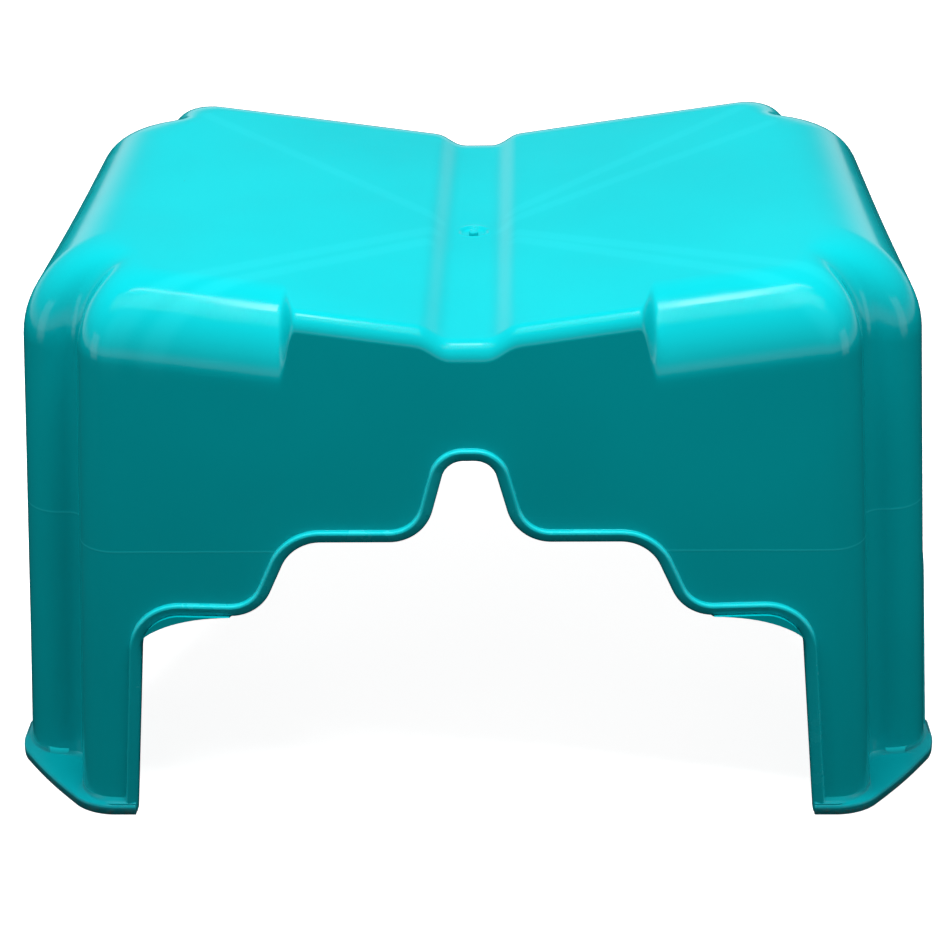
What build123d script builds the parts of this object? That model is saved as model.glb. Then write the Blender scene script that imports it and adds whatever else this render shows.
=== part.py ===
from build123d import *
import os
from math import atan2, cos, degrees, hypot, radians, sin, tan

# A low one-step mounting block: one thin-walled plastic moulding on four corner legs.
# Millimetres. +X is the user's right, -Y is the front, +Z is up. The origin lies on the floor,
# under the middle of the block.

# ---- overall form, outside faces measured where the walls meet the floor ----
centre_width = 339.0        # the middle block, which is the full depth
centre_depth = 304.0
wing_width = 396.5          # the side wings, which are the full width
wing_depth = 234.0
draft_angle = 4.15          # every wall leans in by this much from the vertical
valley_height = 211.5       # where the two halves of the seat would meet, over the centre line
seat_slope = 8.1            # each half of the seat rises outwards at this angle
edge_roll = 32.0            # radius of the rolled edge all round the seat
corner_radius = 17.0        # outer radius of the upright corners
notch_radius = 8.0          # radius inside the corner notches
wall = 2.8                  # wall thickness
witness_height = 120.5      # height of the mould's witness line

# ---- channel along the valley of the seat ----
channel_width = 38.0
channel_floor_width = 16.0
channel_floor_height = 207.8
channel_blend = 6.0         # radius of the soft bends at the floor of the channel

# ---- gate mark in the channel ----
gate_diameter = 13.0
gate_depth = 1.0
gate_offset = -10.0         # how far the mark sits from the middle, towards the front
stub_diameter = 4.0
stub_height = 0.8
stub_offset = -3.0          # from the middle of the mark

# ---- raised tab in the middle of the front edge ----
fascia_width = 137.0
fascia_corner = 3.0         # radius of the tab's upright corners

# ---- stepped arch in each wall ----
arch_top = 160.0
arch_neck = 10.0            # half width of the round-topped notch, and its radius
upper_step_height = arch_top * 25 / 32
lower_step_height = arch_top * 23 / 40
riser_run = 15.0            # how far out each riser leans on its way down
leg_lean = 9.0              # how far the leg's inner edge leans on its way down
leg_radius = 17.0
front_foot = 143.4          # half width between the feet
front_upper_step = front_foot / 2
front_step_radius = 18.0
front_throat = 20.0         # half width where the notch opens into the first step
front_throat_radius = 18.0
side_foot = 90.0
side_upper_step = side_foot * 4 / 9
side_step_radius = 14.0
side_throat = 15.5
side_throat_radius = 12.0

# ---- hem along the arches, and the foot flanges ----
rim_width = 4.2
rim_proud = 1.8
flange_reach = 3.4
flange_thickness = 4.5

# ---- diagonal ribs under the seat ----
rib_thickness = 2.0
rib_depth = 14.0
rib_spacing = 12.0
rib_count = 2

# ---- worked out from the values above ----
lean = tan(radians(draft_angle))
rise = tan(radians(seat_slope))
block_top = valley_height + rise * wing_width
below_floor = 5.0
far = wing_width + centre_depth
seat_thickness = wall / cos(radians(seat_slope))
fascia_seam = centre_depth / 2 - lean * valley_height - edge_roll
arch_sizes = {
    "front": (front_throat, front_throat_radius, front_upper_step, front_step_radius, front_foot),
    "side": (side_throat, side_throat_radius, side_upper_step, side_step_radius, side_foot),
}


def seat_plane(drop):
    """The right half of the seat, moved straight down into the wall by the given distance."""
    slope = radians(seat_slope)
    height = valley_height - drop / cos(slope)
    return Plane(origin=(0, 0, height), x_dir=(cos(slope), 0, sin(slope)), z_dir=(-sin(slope), 0, cos(slope)))


def tapered_block(width, depth, inset):
    """A block with leaning walls, given its size at floor level, inset on all sides."""
    start = Plane.XY.offset(-below_floor)
    grow = 2 * below_floor * lean - 2 * inset
    outline = start * Rectangle(width + grow, depth + grow)
    return extrude(outline, amount=block_top + below_floor, taper=draft_angle)


def half_block(width, depth, inset):
    """The right half of a tapered block under the seat plane, with plain sharp edges."""
    right = split(tapered_block(width, depth, inset), Plane.YZ, keep=Keep.TOP)
    return split(right, seat_plane(inset), keep=Keep.BOTTOM)


def rolled_half(width, depth, inset):
    """The same half block with rounded upright corners and the rolled edge round the seat."""
    block = half_block(width, depth, inset)
    uprights = [edge for edge in block.edges() if edge.center().X > wall and is_upright(edge)]
    block = fillet(uprights, corner_radius - inset)
    seat = max(block.faces(), key=lambda face: face.normal_at().Z)
    rim = [edge for edge in seat.edges() if edge.center().X > wall]
    return fillet(rim, edge_roll - inset)


def is_upright(edge):
    start = edge @ 0
    end = edge @ 1
    return abs(end.Z - start.Z) > valley_height / 2


def in_notch(edge, inset):
    """True for the upright edge in the inside corner of a notch."""
    middle = edge.center()
    wall_x = centre_width / 2 - inset - lean * middle.Z
    wall_y = wing_depth / 2 - inset - lean * middle.Z
    return is_upright(edge) and abs(middle.X - wall_x) < 0.5 and abs(abs(middle.Y) - wall_y) < 0.5


def form_half(inset):
    """The right half of the whole body: the middle block joined to the wing."""
    body = rolled_half(centre_width, centre_depth, inset) + rolled_half(wing_width, wing_depth, inset)
    notches = [edge for edge in body.edges() if in_notch(edge, inset)]
    return fillet(notches, notch_radius + inset)


def slab(x_low, x_high, y_low, y_high, z_low, z_high):
    """A plain box between the given limits, used to divide the body."""
    box = Box(x_high - x_low, y_high - y_low, z_high - z_low)
    return Pos((x_low + x_high) / 2, (y_low + y_high) / 2, (z_low + z_high) / 2) * box


def seat_zone():
    """All the space above the seam between the seat and the walls, on both sides."""
    right = split(slab(0, far, -far, far, 0, far), seat_plane(edge_roll), keep=Keep.TOP)
    return right + to_left(right)


def arch_outline(facing, widen):
    """The stepped arch, in width and height, grown outwards by widen."""
    throat, throat_radius, upper_step, step_radius, foot = arch_sizes[facing]
    leg_top = foot - leg_lean
    half = [
        (arch_neck, arch_top, arch_neck - 0.01),
        (throat, upper_step_height, throat_radius),
        (upper_step, upper_step_height, step_radius),
        (upper_step + riser_run, lower_step_height, step_radius),
        (leg_top, lower_step_height, leg_radius),
        (foot + leg_lean * below_floor / lower_step_height, -below_floor, 0),
    ]
    points = [(-x, z) for x, z, _ in reversed(half)] + [(x, z) for x, z, _ in half]
    radii = [r for _, _, r in reversed(half)] + [r for _, _, r in half]
    face = make_face(Polyline(*points, close=True))
    for point, radius in zip(points, radii):
        if radius:
            corner = [v for v in face.vertices() if hypot(v.X - point[0], v.Y - point[1]) < 1e-6]
            face = fillet(corner, radius)
    if widen:
        face = offset(face, amount=widen, kind=Kind.ARC)
    return face


def arch_tool(facing, widen=0):
    """The arch outline run right through the body, along Y for the front, along X for the sides."""
    plane = Plane.XZ if facing == "front" else Plane.YZ
    return extrude(plane * arch_outline(facing, widen), amount=far, both=True)


def above(body, height):
    return split(body, Plane.XY.offset(height), keep=Keep.TOP)


def below(body, height):
    return split(body, Plane.XY.offset(height), keep=Keep.BOTTOM)


def to_left(body):
    return mirror(body, Plane.YZ)


def to_rear(body):
    return mirror(body, Plane.XZ)


def channel_face(drop):
    """The section above the channel's surface, lowered by drop. Its foot is the channel itself."""
    edge_height = valley_height + rise * channel_width / 2
    sky = edge_height + 2 * edge_roll
    outline = [
        (-channel_width / 2, edge_height - drop),
        (-channel_floor_width / 2, channel_floor_height - drop),
        (channel_floor_width / 2, channel_floor_height - drop),
        (channel_width / 2, edge_height - drop),
        (channel_width / 2, sky),
        (-channel_width / 2, sky),
    ]
    face = make_face(Polyline(*outline, close=True))
    bends = [v for v in face.vertices() if abs(v.Y - (channel_floor_height - drop)) < 1e-6]
    return fillet(bends, channel_blend + drop)


def channel_cut(drop):
    return extrude(Plane.XZ * channel_face(drop), amount=far, both=True)


def middle_strip(body, drop):
    """The part of the body within the channel's width, both halves, with the channel cut along its top."""
    strip = body & slab(0, channel_width / 2, -fascia_seam, far, 0, far)
    return strip + to_left(strip) - channel_cut(drop)


def make_channel(outer, inner):
    """The trough between the two treads, run out over the rear edge, with the gate mark in its floor."""
    strip = middle_strip(outer, 0) - middle_strip(inner, seat_thickness)
    strip = strip & seat_zone()
    mark = Cylinder(gate_diameter / 2, 2 * gate_depth)
    return strip - Pos(0, gate_offset, channel_floor_height) * mark


def make_gate_stub():
    height = gate_depth + stub_height
    foot = channel_floor_height - gate_depth
    stub = Cylinder(stub_diameter / 2, height, align=(Align.CENTER, Align.CENTER, Align.MIN))
    return Pos(0, gate_offset + stub_offset, foot) * stub


def make_tread(shell):
    """The right half of the seat with its rolled edges, outside the channel and the front tab."""
    cap = split(shell, seat_plane(edge_roll), keep=Keep.TOP)
    cap = cap - slab(-far, channel_width / 2, -far, far, 0, far)
    return cap - slab(-far, fascia_width / 2, -far, -fascia_seam, 0, far)


def sharp_form(inset):
    """The middle block, both halves, with sharp edges and the channel cut along its top."""
    half = half_block(centre_width, centre_depth, inset)
    drop = inset / wall * seat_thickness
    return half + to_left(half) - channel_cut(drop)


def make_fascia(inner):
    """The front tab: the wall carried straight up past the rolled edge, closed by a cheek at each end."""
    outer = sharp_form(0)
    skin = outer - sharp_form(wall)
    cheek_inner = fascia_width / 2 - wall
    cheek = slab(cheek_inner, fascia_width / 2, -far, 0, 0, far) & outer
    cheek = cheek - inner
    band = slab(-fascia_width / 2, fascia_width / 2, -far, -fascia_seam, 0, far)
    tab = (skin + cheek + to_left(cheek)) & band & seat_zone()
    ends = [edge for edge in tab.edges() if is_tab_end(edge)]
    return fillet(ends, fascia_corner)


def is_tab_end(edge):
    """True for the upright outer corners of the tab."""
    start = edge @ 0
    end = edge @ 1
    at_end = abs(abs(start.X) - fascia_width / 2) < 1e-3 and abs(abs(end.X) - fascia_width / 2) < 1e-3
    at_front = min(start.Y, end.Y) < -(centre_depth / 2 - lean * valley_height)
    return at_end and at_front and abs(end.Z - start.Z) > edge_roll / 2


def wing_plane():
    """Runs along the inside corner of the front notches, clear of their radius, and leans with the walls."""
    angle = radians(draft_angle)
    start = (0, -wing_depth / 2 - notch_radius, 0)
    return Plane(origin=start, x_dir=(1, 0, 0), z_dir=(0, -cos(angle), sin(angle)))


def split_walls(walls):
    """Divides the right half of the upper walls into its front and rear returns and its side."""
    front = split(walls, wing_plane(), keep=Keep.TOP)
    rest = split(walls, wing_plane(), keep=Keep.BOTTOM)
    side = rest - to_rear(slab(0, far, -far, 0, 0, far) & front_space())
    return front, side


def front_space():
    """All the space in front of the wing plane."""
    return split(slab(0, far, -far, 0, 0, far), wing_plane(), keep=Keep.TOP)


def make_rim(width, depth, facing):
    """The raised hem on the outside of the wall, following the arch down to the foot flange."""
    ring = arch_tool(facing, rim_width) - arch_tool(facing)
    skin = tapered_block(width, depth, -rim_proud) - tapered_block(width, depth, 0)
    if facing == "front":
        side = slab(-far, far, -far, 0, flange_thickness, valley_height)
    else:
        side = slab(0, far, -far, far, flange_thickness, valley_height)
    return ring & skin & side


def make_foot(outer):
    """The front right foot flange: an outward lip that runs straight across the corner notch."""
    middle = RectangleRounded(
        centre_width + 2 * flange_reach, centre_depth + 2 * flange_reach, corner_radius + flange_reach
    )
    wing = RectangleRounded(wing_width + 2 * flange_reach, wing_depth + 2 * flange_reach, corner_radius + flange_reach)
    outline = make_hull(middle.edges() + wing.edges())
    plate = extrude(outline, amount=flange_thickness)
    quarter = slab(0, far, -far, 0, -below_floor, flange_thickness)
    return (plate & quarter) - outer - arch_tool("front") - arch_tool("side")


def make_ribs(inner):
    """The front right group of parallel ribs, from beside the gate mark to the corner of the seat."""
    target_x = centre_width / 2 - lean * valley_height - edge_roll / 2
    target_y = -(centre_depth / 2 - lean * valley_height - edge_roll / 2)
    length = hypot(target_x, target_y - gate_offset)
    angle = degrees(atan2(target_y - gate_offset, target_x))
    group = None
    for index in range(rib_count):
        sideways = (index - (rib_count - 1) / 2) * rib_spacing
        plate = Pos(length / 2, sideways, 0) * Box(2 * length, rib_thickness, 2 * block_top)
        plate = Pos(0, gate_offset, 0) * Rot(0, 0, angle) * plate
        group = plate if group is None else group + plate
    room = split(inner, seat_plane(wall + rib_depth), keep=Keep.TOP)
    room = room & slab(channel_width / 2, far, -far, 0, 0, far)
    return group & room


# ---- build ----
outer = form_half(0)
inner = form_half(wall)
shell = above(outer - inner, 0)
walls = split(shell, seat_plane(edge_roll), keep=Keep.BOTTOM)
front_arch = arch_tool("front")
side_arch = arch_tool("side")

tread = make_tread(shell)
front_wall, side_wall = split_walls(above(walls, witness_height))
front_wall = front_wall - front_arch
side_wall = side_wall - side_arch
leg = below(walls, witness_height) & slab(0, far, -far, 0, 0, far)
leg = leg - front_arch - side_arch
foot = make_foot(outer)
ribs = make_ribs(inner)
rim_front = make_rim(centre_width, centre_depth, "front")
rim_right = make_rim(wing_width, wing_depth, "side")
front_apron = front_wall + to_left(front_wall)

parts = {
    "tread_right": tread,
    "tread_left": to_left(tread),
    "centre_channel": make_channel(outer, inner),
    "gate_stub": make_gate_stub(),
    "front_fascia": make_fascia(inner),
    "front_apron": front_apron,
    "rear_apron": to_rear(front_apron),
    "right_apron": side_wall,
    "left_apron": to_left(side_wall),
    "arch_rim_front": rim_front,
    "arch_rim_rear": to_rear(rim_front),
    "arch_rim_right": rim_right,
    "arch_rim_left": to_left(rim_right),
}
for name, piece in (("leg", leg), ("foot", foot), ("ribs", ribs)):
    parts[name + "_front_right"] = piece
    parts[name + "_front_left"] = to_left(piece)
    parts[name + "_rear_right"] = to_rear(piece)
    parts[name + "_rear_left"] = to_left(to_rear(piece))

os.makedirs("parts", exist_ok=True)
for name, piece in parts.items():
    export_step(piece, os.path.join("parts", name + ".step"))
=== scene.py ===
import bpy
import numpy as np
from mathutils import Matrix, Vector


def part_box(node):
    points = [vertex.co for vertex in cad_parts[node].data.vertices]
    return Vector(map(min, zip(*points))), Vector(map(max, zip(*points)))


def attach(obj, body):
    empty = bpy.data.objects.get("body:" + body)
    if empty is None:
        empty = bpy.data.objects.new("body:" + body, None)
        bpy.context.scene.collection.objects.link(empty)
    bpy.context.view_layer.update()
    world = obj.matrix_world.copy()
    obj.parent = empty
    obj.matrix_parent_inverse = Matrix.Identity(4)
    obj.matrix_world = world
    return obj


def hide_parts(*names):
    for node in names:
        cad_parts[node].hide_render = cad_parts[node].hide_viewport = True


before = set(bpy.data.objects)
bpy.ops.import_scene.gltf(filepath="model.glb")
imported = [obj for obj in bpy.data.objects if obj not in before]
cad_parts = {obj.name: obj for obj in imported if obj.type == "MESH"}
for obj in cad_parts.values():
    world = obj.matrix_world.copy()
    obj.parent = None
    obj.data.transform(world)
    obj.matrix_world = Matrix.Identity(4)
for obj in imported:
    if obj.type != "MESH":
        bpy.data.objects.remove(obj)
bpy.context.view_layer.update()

# The block is one moulding, so its outside is worked out as one smooth surface and then cut along
# its own features into the same named regions as the frame. All sizes are in metres.

legLow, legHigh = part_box("leg_front_right")
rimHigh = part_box("arch_rim_front")[1]
stubLow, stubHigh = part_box("gate_stub")
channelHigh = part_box("centre_channel")[1]

body = {
    "wingHalf": np.array([legHigh[0], 0.117]),        # half width and half depth of the wings at the floor
    "centreHalf": np.array([0.1695, -legLow[1]]),     # the same for the middle block
    "lean": np.tan(np.radians(4.15)),                 # how far a wall moves in for each metre it rises
    "corner": 0.017,                                  # radius of the upright outer corners
    "notch": 0.009,                                   # radius inside the corner notches
    "valley": 0.2108,                                 # where the two halves of the seat would meet
    "slope": np.tan(np.radians(8.1)),
    "wall": 0.0028,
    "sag": 0.0024,                                    # how far the side edges sink in the middle
    "sagStart": 0.05, "sagWidth": 0.13, "sagHalf": 0.1,
    "witness": float(legHigh[2]),                     # height of the mould's witness line
    "frontRoll": 0.030,
    "sideRoll": 0.0415,
    "seamDrop": 0.046,                                # the cut between seat and walls, below the seat
    "deckInset": 0.0355,                              # the flat seat starts this far in, front and rear
    "sideInset": 0.0470,                              # and this far in at the sides
    "frontRise": 0.222, "sideRise": 0.236,            # heights at which those two insets are measured
    "deckCorner": np.array([0.016, 0.042]),
}
channel = {
    "edge": float(channelHigh[0]), "flat": 0.0050, "fade": 0.0215, "depth": 0.0032,
    "fineEnd": 0.019,                                 # rows are closer together from here to the middle
}
tab = {"half": 0.0702, "blend": 0.0044, "edge": 0.0075}
gate = {
    "centre": np.array([0.0, -0.0100]), "radius": 0.0062, "soft": 0.0011, "depth": 0.0011,
    "lip": 0.00022, "lipWidth": 0.0006, "stubRadius": float(stubHigh[0]), "stubSink": 0.0006,
}
arches = {
    # half widths of the throat, of the upper step and between the feet, radii of the throat and steps, and
    # the half width that follows the arch
    "front": {
        "throat": 0.0188, "turn": 0.018, "step": 0.0717, "bend": 0.018, "foot": 0.1434, "follow": 0.090,
    },
    "side": {
        "throat": 0.0155, "turn": 0.012, "step": 0.0400, "bend": 0.014, "foot": 0.0900, "follow": 0.050,
    },
}
archShape = {
    "top": float(rimHigh[2]) - 0.0042, "neck": 0.0092, "upper": 0.125, "lower": 0.092, "lift": 0.0012,
    "riser": 0.015, "legLean": 0.009, "legBend": 0.017,
}
count = {"leg": 84, "upper": 30, "lowStrip": 5, "roll": 18, "highStrip": 6, "arc": 40, "seatNear": 33}


def smooth(value):
    # Six t to the fifth, less fifteen t to the fourth, plus ten t cubed: flat at both ends.
    t = np.clip(value, 0, 1)
    return t * t * t * (t * (6 * t - 15) + 10)


def seatHeight(x, y):
    # Two planes rising from the valley, less the channel's depth faded out sideways, with a slight sag
    # towards the middle of the sides: a step across times the square of a cosine along. The round gate mark
    # is sunk in the channel floor, with a low lip round it.
    across = np.abs(x)
    plane = body["valley"] + body["slope"] * across
    fade = 1 - smooth((across - channel["flat"]) / (channel["fade"] - channel["flat"]))
    height = plane - (plane - body["valley"] + channel["depth"]) * fade
    along = np.clip(y / body["sagHalf"], -np.pi / 2, np.pi / 2)
    sag = body["sag"] * smooth((across - body["sagStart"]) / body["sagWidth"]) * np.cos(along) ** 2
    away = np.hypot(x - gate["centre"][0], y - gate["centre"][1])
    sink = gate["depth"] * (1 - smooth((away - gate["radius"] + gate["soft"]) / gate["soft"]))
    lip = gate["lip"] * np.exp(-((away - gate["radius"] - gate["lipWidth"]) / gate["lipWidth"]) ** 2)
    return height - sag - sink + lip


def roundedPath(points, radii):
    # Straight runs joined by tangent arcs: each corner is cut back by the radius times the tangent of half
    # its turn, and the arc is drawn from one cut to the other about its own centre.
    points = np.asarray(points, float)
    path = [points[:1]]
    for before, corner, after, radius in zip(points, points[1:], points[2:], radii[1:]):
        inward = (before - corner) / np.linalg.norm(before - corner)
        outward = (after - corner) / np.linalg.norm(after - corner)
        turn = np.pi - np.arccos(np.clip(inward @ outward, -1, 1))
        cut = radius * np.tan(turn / 2)
        middle = (inward + outward) / np.linalg.norm(inward + outward)
        centre = corner + middle * radius / np.cos(turn / 2)
        swing = np.linspace(-turn / 2, turn / 2, count["arc"])[:, None]
        across = (outward - inward) / np.linalg.norm(outward - inward)
        path.append(centre - radius * (np.cos(swing) * middle - np.sin(swing) * across))
    path.append(points[-1:])
    return np.vstack(path)


def pointsAlong(path, fractions):
    # Points at the given fractions of a path's length.
    steps = np.linalg.norm(np.diff(path, axis=0), axis=1)
    run = np.concatenate([[0], np.cumsum(steps)]) / steps.sum()
    return np.stack([np.interp(fractions, run, path[:, axis]) for axis in range(path.shape[1])], axis=-1)


def archPath(kind):
    # Half of the stepped arch as width and height, from the foot up to the middle of the top.
    size, shape = arches[kind], archShape
    points = [
        (size["foot"], 0), (size["foot"] - shape["legLean"], shape["lower"] + shape["lift"]),
        (size["step"] + shape["riser"], shape["lower"]), (size["step"], shape["upper"]),
        (size["throat"], shape["upper"]), (shape["neck"], shape["top"]), (0, shape["top"]),
    ]
    return roundedPath(points, [0, shape["legBend"], size["bend"], size["bend"], size["turn"], shape["neck"]])


def splitArch(kind):
    # The same path cut where it first reaches the witness line: the leg's part and the apron's part.
    path = archPath(kind)
    index = int(np.argmax(path[:, 1] > body["witness"]))
    low, high = path[index - 1], path[index]
    share = (body["witness"] - low[1]) / (high[1] - low[1])
    meet = low + share * (high - low)
    return np.vstack([path[:index], meet]), np.vstack([meet, path[index:]])[::-1]


frontLeg, frontTop = splitArch("front")
sideLeg, sideTop = splitArch("side")

# Columns of the surface in one quarter: along half of the front, round the corner and notch, then half of the
# side. Stations along the front stay at their width up to a limit and stretch beyond it.
frontStations = np.concatenate([
    np.linspace(0, channel["flat"], 9)[:-1], np.linspace(channel["flat"], channel["edge"], 15)[:-1],
    np.linspace(channel["edge"], tab["half"] - 2 * tab["blend"], 17)[:-1],
    np.linspace(tab["half"] - 2 * tab["blend"], tab["half"] + 2 * tab["blend"], 33)[:-1],
    np.linspace(tab["half"] + 2 * tab["blend"], arches["front"]["follow"], 7),
])
stretch = np.linspace(0, 1, 25)[1:]
sideStations = np.linspace(arches["side"]["follow"], 0, 34)
arcSteps = np.linspace(0, np.pi / 2, 15)[1:]
notchSteps = np.linspace(0, np.pi / 2, 11)[1:]
returnSteps = np.linspace(0, 1, 7)[1:]
shoulderSteps = np.linspace(0, 1, 5)[1:]
frontCount = len(frontStations) + len(stretch)
fanCount = 2 * len(arcSteps) + len(returnSteps) + len(notchSteps) + len(shoulderSteps)
total = frontCount + fanCount + len(stretch) + len(sideStations) - 1


def outline(z):
    # The plan of one quarter at height z: straight walls moved in by lean times height, with arcs of constant
    # radius in the outer corners and in the notch.
    wingX, wingY = body["wingHalf"] - body["lean"] * z
    centreX, centreY = body["centreHalf"] - body["lean"] * z
    corner, notch = body["corner"], body["notch"]
    follow = arches["front"]["follow"]
    frontX = np.concatenate([frontStations, follow + stretch * (centreX - corner - follow)])
    runs = [(frontX, np.full(frontX.shape, -centreY))]
    bend = corner * np.sin(arcSteps), corner - corner * np.cos(arcSteps)
    runs.append((centreX - corner + bend[0], -centreY + bend[1]))
    start, end = -centreY + corner, -wingY - notch
    runs.append((np.full(returnSteps.shape, centreX), start + returnSteps * (end - start)))
    runs.append((centreX + notch - notch * np.cos(notchSteps), end + notch * np.sin(notchSteps)))
    start, end = centreX + notch, wingX - corner
    runs.append((start + shoulderSteps * (end - start), np.full(shoulderSteps.shape, -wingY)))
    runs.append((end + bend[0], -wingY + bend[1]))
    follow = arches["side"]["follow"]
    sideY = np.concatenate([-follow - (1 - stretch) * (wingY - corner - follow), -sideStations[1:]])
    runs.append((np.full(sideY.shape, wingX), sideY))
    return np.vstack([np.column_stack(run) for run in runs])


def wallPoint(z):
    # Every column at its own height: the plan is linear in height, so two plans give all of them.
    top = 0.2
    low, high = outline(0.0), outline(top)
    plan = low + (high - low) * (z / top)[:, None]
    return np.column_stack([plan, z])


def deckLoop(sharp):
    # Where the flat seat begins: straight along the front and side, with a quarter ellipse for the corner
    # that the whole notch fades into. The ellipse's angle follows the length along the sharp edge.
    edgeX = body["wingHalf"][0] - body["lean"] * body["sideRise"] - body["sideInset"]
    edgeY = body["centreHalf"][1] - body["lean"] * body["frontRise"] - body["deckInset"]
    radius = body["deckCorner"]
    follow = arches["front"]["follow"]
    frontX = np.concatenate([frontStations, follow + stretch * (edgeX - radius[0] - follow)])
    fan = sharp[frontCount - 1:frontCount + fanCount, :2]
    run = np.concatenate([[0], np.cumsum(np.linalg.norm(np.diff(fan, axis=0), axis=1))])
    angle = (run[1:] / run[-1]) * np.pi / 2
    fanX = edgeX - radius[0] + radius[0] * np.sin(angle)
    fanY = -edgeY + radius[1] - radius[1] * np.cos(angle)
    follow = arches["side"]["follow"]
    sideY = np.concatenate([-follow - (1 - stretch) * (edgeY - radius[1] - follow), -sideStations[1:]])
    x = np.concatenate([frontX, fanX, np.full(sideY.shape, edgeX)])
    y = np.concatenate([np.full(frontX.shape, -edgeY), fanY, sideY])
    return x, y


def cornerTurn():
    # How far each column has turned from the front to the side, from nought to one.
    return smooth((np.arange(total) - frontCount + 1) / fanCount)


def rollRadius(x, isFront):
    # Radius of the rolled edge for each column: small across the raised tab, blending quickly at its ends.
    radius = body["frontRoll"] + cornerTurn() * (body["sideRoll"] - body["frontRoll"])
    if isFront:
        share = smooth((np.abs(x[:frontCount]) - tab["half"] + tab["blend"]) / (2 * tab["blend"]))
        radius[:frontCount] = tab["edge"] + share * (body["frontRoll"] - tab["edge"])
    return radius


def coons(bottom, top, left, right):
    # A surface between four edges: the two ruled surfaces added, less the one between the four corners.
    u = np.linspace(0, 1, len(bottom))[None, :, None]
    v = np.linspace(0, 1, len(left))[:, None, None]
    ruled = (1 - v) * bottom[None] + v * top[None] + (1 - u) * left[:, None] + u * right[:, None]
    corners = (1 - u) * (1 - v) * bottom[0] + u * (1 - v) * bottom[-1]
    corners = corners + (1 - u) * v * top[0] + u * v * top[-1]
    return ruled - corners


def mix(low, high, rows):
    # Rows of points between two lines, one row for each share from nought to one.
    share = rows[:, None, None]
    return low[None] * (1 - share) + high[None] * share


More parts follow.
